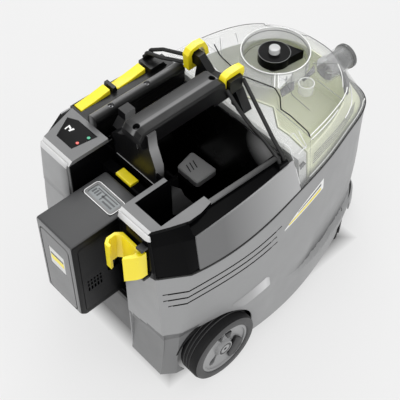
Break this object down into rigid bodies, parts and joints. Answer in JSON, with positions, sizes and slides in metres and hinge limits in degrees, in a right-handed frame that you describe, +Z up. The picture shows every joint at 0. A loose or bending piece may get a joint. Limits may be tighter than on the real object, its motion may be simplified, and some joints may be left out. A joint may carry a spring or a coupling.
{
  "type": "spot extractor",
  "caption": "Battery spray-extraction spot cleaner on wheels, with a tool bin, carrying handle, slide-in battery, clear tank lid with float, rubber straps and a suction hose port.",
  "frame": {"origin": "on the floor, under the middle of the outer box", "axes": "+X along the machine towards the clear tank end and hose port, +Y to the far side with the control panel and switches, +Z up"},
  "size_m": [0.596, 0.358, 0.437],
  "materials": {
    "shell_grey": "satin",
    "gloss_black": "gloss",
    "matt_black": "fine grain",
    "battery_grey": "satin",
    "yellow": "satin",
    "clear": "clear polycarbonate",
    "tank_cream": "milky translucent",
    "rubber": "soft",
    "tyre": "grooved",
    "hub_grey": "satin",
    "steel": "brushed",
    "lcd": "display",
    "bezel": "satin",
    "label": "printed film",
    "led": "lens",
    "board": "coated",
    "pump": "moulded"
  },
  "bodies": {
    "machine": {"outer_shell": "shell_grey", "chassis_base": "matt_black", "belt_seal": "rubber", "shoulder_near": "shell_grey", "shoulder_far": "shell_grey", "corner_panel_near": "gloss_black", "corner_panel_far": "gloss_black", "lower_panel": "battery_grey", "rear_deck": "shell_grey", "panel_glass": "gloss_black", "status_leds": "led", "storage_bin": "gloss_black", "knob_pedestal": "gloss_black", "switch_console": "gloss_black", "console_rail": "battery_grey", "handle_beam": "battery_grey", "handle_grip": "rubber", "handle_rear_leg": "battery_grey", "handle_front_leg": "battery_grey", "housing_screws": "steel", "battery_bay": "gloss_black", "contact_block": "matt_black", "latch_bar": "gloss_black", "hook_pin": "steel", "strap_hook_near": "yellow", "strap_hook_far": "yellow", "strap_anchors": "matt_black", "strap_near": "rubber", "strap_far": "rubber", "rear_cover": "clear", "fresh_tank": "tank_cream", "turbine_housing": "pump", "water_pump": "pump", "control_board": "board", "rear_axle": "steel"},
    "battery": {"battery_case": "battery_grey", "lcd_bezel": "bezel", "lcd_display": "lcd", "battery_label": "label"},
    "release": {"release_button": "yellow"},
    "suction_rocker": {"suction_switch": "yellow"},
    "spray_rocker": {"spray_switch": "yellow"},
    "cable_hook": {"rear_hook": "yellow"},
    "knob": {"bin_knob": "battery_grey"},
    "tank": {"dirty_tank": "tank_cream", "tank_gasket": "rubber"},
    "lid": {"clear_lid": "clear", "hose_port": "battery_grey", "float_housing": "matt_black", "float_knob": "clear"},
    "float": {"float_ball": "label"},
    "impeller": {"turbine_impeller": "matt_black"},
    "wheel_near": {"tyre_near": "tyre", "hub_near": "hub_grey"},
    "wheel_far": {"tyre_far": "tyre", "hub_far": "hub_grey"},
    "caster_near": {"caster_fork_near": "matt_black"},
    "caster_far": {"caster_fork_far": "matt_black"},
    "roller_near": {"caster_wheel_near": "tyre"},
    "roller_far": {"caster_wheel_far": "tyre"}
  },
  "joints": [
    {"name": "battery_slide", "type": "slide", "parent": "machine", "child": "battery", "axis": [-1, 0, 0], "range_m": [0, 0.13]},
    {"name": "release_press", "type": "slide", "parent": "machine", "child": "release", "axis": [0, 0, -1], "range_m": [0, 0.003], "stiffness_N_per_m": 600},
    {"name": "suction_rock", "type": "hinge", "parent": "machine", "child": "suction_rocker", "pos_m": [-0.1195, 0.1318, 0.3674], "axis": [0, 1, 0], "range_deg": [0, 10]},
    {"name": "spray_rock", "type": "hinge", "parent": "machine", "child": "spray_rocker", "pos_m": [-0.0515, 0.1318, 0.3674], "axis": [0, 1, 0], "range_deg": [0, 10]},
    {"name": "hook_swing", "type": "hinge", "parent": "machine", "child": "cable_hook", "pos_m": [-0.233, -0.113, 0.317], "axis": [0, 0, 1], "range_deg": [0, 90]},
    {"name": "knob_lift", "type": "slide", "parent": "machine", "child": "knob", "axis": [0, 0, 1], "range_m": [0, 0.08]},
    {"name": "tank_lift", "type": "slide", "parent": "machine", "child": "tank", "axis": [0, 0, 1], "range_m": [0, 0.16]},
    {"name": "lid_lift", "type": "slide", "parent": "tank", "child": "lid", "axis": [0, 0, 1], "range_m": [0, 0.08]},
    {"name": "float_rise", "type": "slide", "parent": "lid", "child": "float", "axis": [0, 0, 1], "range_m": [0, 0.01]},
    {"name": "turbine_spin", "type": "hinge", "parent": "machine", "child": "impeller", "pos_m": [-0.06, 0.02, 0.1], "axis": [0, 0, 1], "continuous": true},
    {"name": "wheel_near_spin", "type": "hinge", "parent": "machine", "child": "wheel_near", "pos_m": [-0.134, -0.159, 0.063], "axis": [0, 1, 0], "continuous": true},
    {"name": "wheel_far_spin", "type": "hinge", "parent": "machine", "child": "wheel_far", "pos_m": [-0.134, 0.159, 0.063], "axis": [0, 1, 0], "continuous": true},
    {"name": "caster_near_swivel", "type": "hinge", "parent": "machine", "child": "caster_near", "pos_m": [0.207, -0.103, 0.05], "axis": [0, 0, 1], "continuous": true},
    {"name": "caster_far_swivel", "type": "hinge", "parent": "machine", "child": "caster_far", "pos_m": [0.207, 0.103, 0.05], "axis": [0, 0, 1], "continuous": true},
    {"name": "roller_near_spin", "type": "hinge", "parent": "caster_near", "child": "roller_near", "pos_m": [0.19603, -0.10898, 0.02], "axis": [-0.4787, 0.878, 0], "continuous": true},
    {"name": "roller_far_spin", "type": "hinge", "parent": "caster_far", "child": "roller_far", "pos_m": [0.19603, 0.10898, 0.02], "axis": [0.4787, 0.878, 0], "continuous": true}
  ]
}
